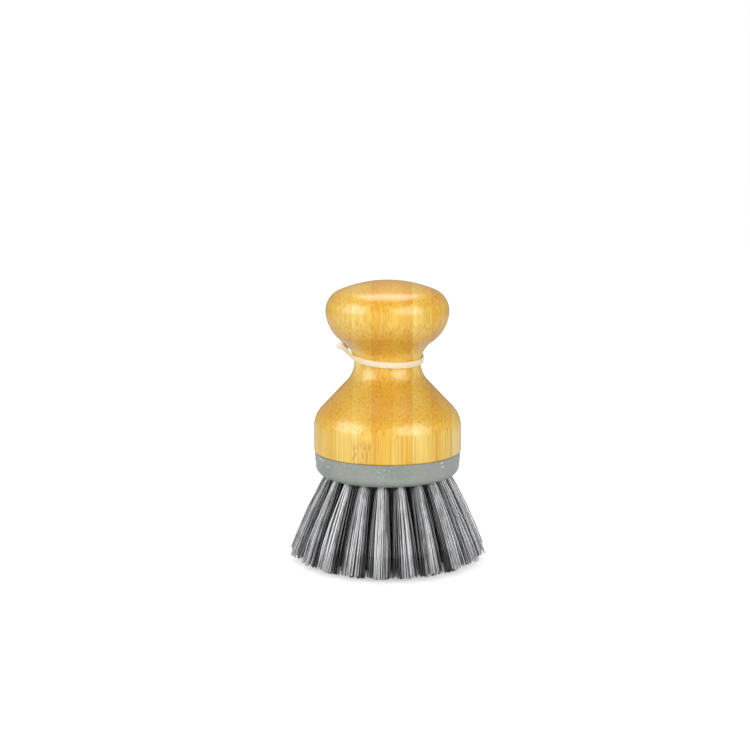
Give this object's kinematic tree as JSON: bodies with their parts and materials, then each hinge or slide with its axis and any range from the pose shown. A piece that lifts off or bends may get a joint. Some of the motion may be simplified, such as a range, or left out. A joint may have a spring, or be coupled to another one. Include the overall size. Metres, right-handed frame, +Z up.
{
  "type": "dish brush",
  "caption": "Palm dish brush: turned bamboo knob handle with a hollow neck, grey moulded plate, splayed stapled bristle tufts and an elastic hanging loop.",
  "frame": {"origin": "on the turning axis, at the level of the bristle tips that the brush stands on", "axes": "+Z up along the turning axis to the knob, -Y to the front of the picture, +X to its right"},
  "size_m": [0.0702, 0.0703, 0.098],
  "materials": {
    "bamboo": "satin lacquer on laminated strips",
    "plate_grey": "semi-gloss moulded",
    "bristle_grey": "drawn nylon filament",
    "screw_steel": "plated",
    "anchor_wire": "drawn flat wire",
    "elastic_white": "braided elastic",
    "bead_white": "moulded"
  },
  "bodies": {
    "brush": {"bamboo_handle": "bamboo", "bristle_plate": "plate_grey", "handle_screw": "screw_steel", "tuft_anchors": "anchor_wire", "inner_tuft_01": "bristle_grey", "inner_tuft_02": "bristle_grey", "inner_tuft_03": "bristle_grey", "inner_tuft_04": "bristle_grey", "inner_tuft_05": "bristle_grey", "inner_tuft_06": "bristle_grey", "inner_tuft_07": "bristle_grey", "middle_tuft_01": "bristle_grey", "middle_tuft_02": "bristle_grey", "middle_tuft_03": "bristle_grey", "middle_tuft_04": "bristle_grey", "middle_tuft_05": "bristle_grey", "middle_tuft_06": "bristle_grey", "middle_tuft_07": "bristle_grey", "middle_tuft_08": "bristle_grey", "middle_tuft_09": "bristle_grey", "middle_tuft_10": "bristle_grey", "middle_tuft_11": "bristle_grey", "middle_tuft_12": "bristle_grey", "middle_tuft_13": "bristle_grey", "middle_tuft_14": "bristle_grey", "outer_tuft_01": "bristle_grey", "outer_tuft_02": "bristle_grey", "outer_tuft_03": "bristle_grey", "outer_tuft_04": "bristle_grey", "outer_tuft_05": "bristle_grey", "outer_tuft_06": "bristle_grey", "outer_tuft_07": "bristle_grey", "outer_tuft_08": "bristle_grey", "outer_tuft_09": "bristle_grey", "outer_tuft_10": "bristle_grey", "outer_tuft_11": "bristle_grey", "outer_tuft_12": "bristle_grey", "outer_tuft_13": "bristle_grey", "outer_tuft_14": "bristle_grey", "outer_tuft_15": "bristle_grey", "outer_tuft_16": "bristle_grey", "outer_tuft_17": "bristle_grey", "outer_tuft_18": "bristle_grey", "outer_tuft_19": "bristle_grey", "outer_tuft_20": "bristle_grey", "outer_tuft_21": "bristle_grey"},
    "loop": {"elastic_loop": "elastic_white", "loop_bead": "bead_white"}
  },
  "joints": [
    {"name": "loop_turn", "type": "hinge", "parent": "brush", "child": "loop", "pos_m": [0, 0, 0.0714], "axis": [0, 0, 1], "continuous": true}
  ]
}
